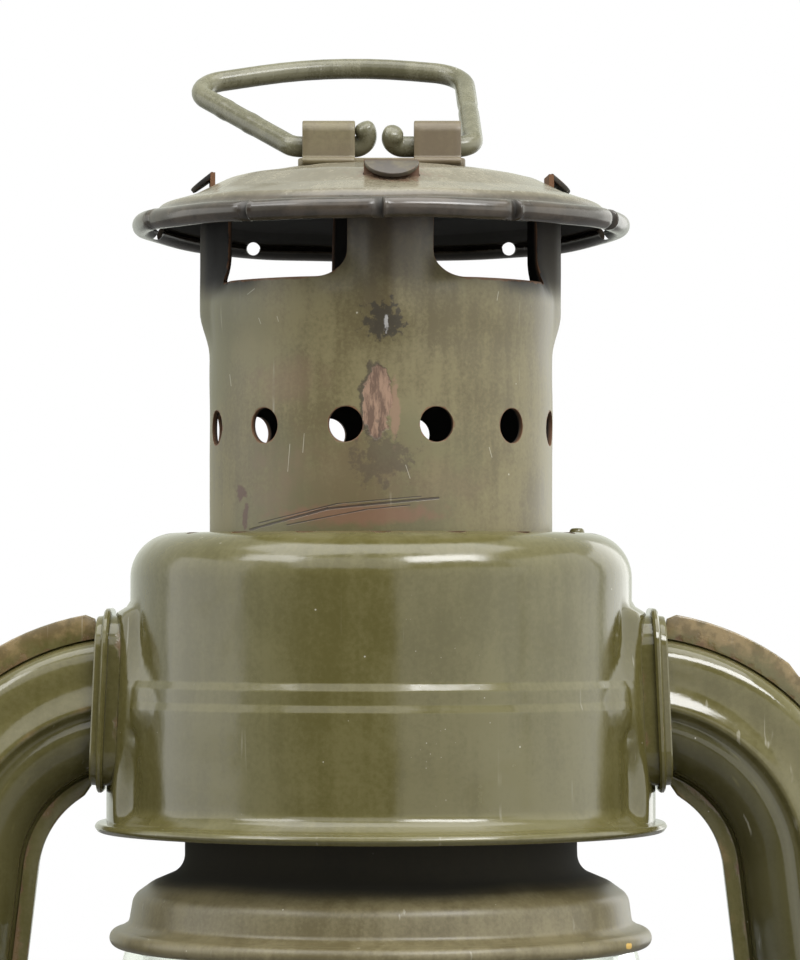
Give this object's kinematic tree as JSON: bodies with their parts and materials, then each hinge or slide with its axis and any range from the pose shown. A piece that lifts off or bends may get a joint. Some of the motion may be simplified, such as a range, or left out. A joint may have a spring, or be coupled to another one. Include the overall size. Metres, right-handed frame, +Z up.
{
  "type": "hurricane lantern",
  "caption": "Cold-blast oil lantern with pressed side tubes, glass globe, sprung hood with wire pull ring, wick burner, screw filler cap and carrying bail.",
  "frame": {"origin": "centre of the tank floor on the table plane", "axes": "+Z up along the globe axis, +X through the right side tube, -Y towards the front with the wick knob and filler cap"},
  "size_m": [0.1692, 0.116, 0.2677],
  "materials": {
    "olive_paint": "glossy olive enamel, worn at the edges",
    "hood_paint": "satin brownish olive enamel, heat-dulled",
    "cap_paint": "dark satin enamel",
    "wire_paint": "satin olive enamel on wire",
    "brass": "dull brass",
    "glass": "clear pressed glass",
    "wick": "woven cotton",
    "gasket": "matt rubber",
    "spring_steel": "plain spring wire"
  },
  "bodies": {
    "frame": {"tank_bottom": "olive_paint", "tank_shell": "olive_paint", "filler_neck": "olive_paint", "air_box": "olive_paint", "tube_left_front": "olive_paint", "tube_left_back": "olive_paint", "tube_right_front": "olive_paint", "tube_right_back": "olive_paint", "collar_left": "olive_paint", "collar_right": "olive_paint", "air_chamber": "olive_paint", "bail_ear_left": "olive_paint", "bail_ear_right": "olive_paint", "lever_bracket": "olive_paint", "burner_base": "brass", "burner_cone": "brass", "wick_tube": "brass", "hood_spring": "spring_steel"},
    "globe_carrier": {"globe_seat": "olive_paint", "globe_guard": "wire_paint", "globe": "glass"},
    "hood": {"globe_cap": "cap_paint", "chimney": "hood_paint", "canopy": "hood_paint", "ring_bracket": "hood_paint"},
    "lift_ring": {"lift_ring": "wire_paint"},
    "bail": {"bail": "wire_paint"},
    "lift_lever": {"lift_lever": "wire_paint"},
    "knob": {"wick_shaft": "brass", "wick_knob": "brass"},
    "wick": {"wick": "wick"},
    "filler_gasket": {"filler_gasket": "gasket"},
    "filler_cap": {"filler_cap": "olive_paint"}
  },
  "joints": [
    {"name": "globe_lift", "type": "slide", "parent": "frame", "child": "globe_carrier", "axis": [0, 0, 1], "range_m": [0, 0.003]},
    {"name": "lever_turn", "type": "hinge", "parent": "frame", "child": "lift_lever", "pos_m": [0.04697, -0.01, 0.0627], "axis": [0, 1, 0], "range_deg": [0, 23]},
    {"name": "hood_lift", "type": "slide", "parent": "globe_carrier", "child": "hood", "axis": [0, 0, 1], "range_m": [0, 0.007], "stiffness_N_per_m": 250, "springref_m": -0.01, "deforming": ["hood_spring"]},
    {"name": "ring_turn", "type": "hinge", "parent": "hood", "child": "lift_ring", "pos_m": [0, 0, 0.25151], "axis": [1, 0, 0], "range_deg": [-32, 150]},
    {"name": "bail_turn", "type": "hinge", "parent": "frame", "child": "bail", "pos_m": [0, 0, 0.1413], "axis": [1, 0, 0], "range_deg": [0, 311]},
    {"name": "knob_turn", "type": "hinge", "parent": "frame", "child": "knob", "pos_m": [-0.0049, -0.02, 0.041], "axis": [0, -1, 0], "range_deg": [-85, 57]},
    {"name": "wick_slide", "type": "slide", "parent": "frame", "child": "wick", "axis": [0, 0, 1], "range_m": [-0.0055, 0.0037]},
    {"name": "gasket_rise", "type": "slide", "parent": "frame", "child": "filler_gasket", "axis": [0, 0, 1], "range_m": [0, 0.0061]},
    {"name": "cap_turn", "type": "hinge", "parent": "filler_gasket", "child": "filler_cap", "pos_m": [-0.02687, -0.02687, 0.036], "axis": [0, 0, 1], "range_deg": [0, 1080]}
  ],
  "couplings": [
    {"joint": "lever_turn", "follows": "globe_lift", "rad_per_m": 131.58},
    {"joint": "wick_slide", "follows": "knob_turn", "m_per_rad": 0.0036},
    {"joint": "gasket_rise", "follows": "cap_turn", "m_per_rad": 0.00031831}
  ]
}
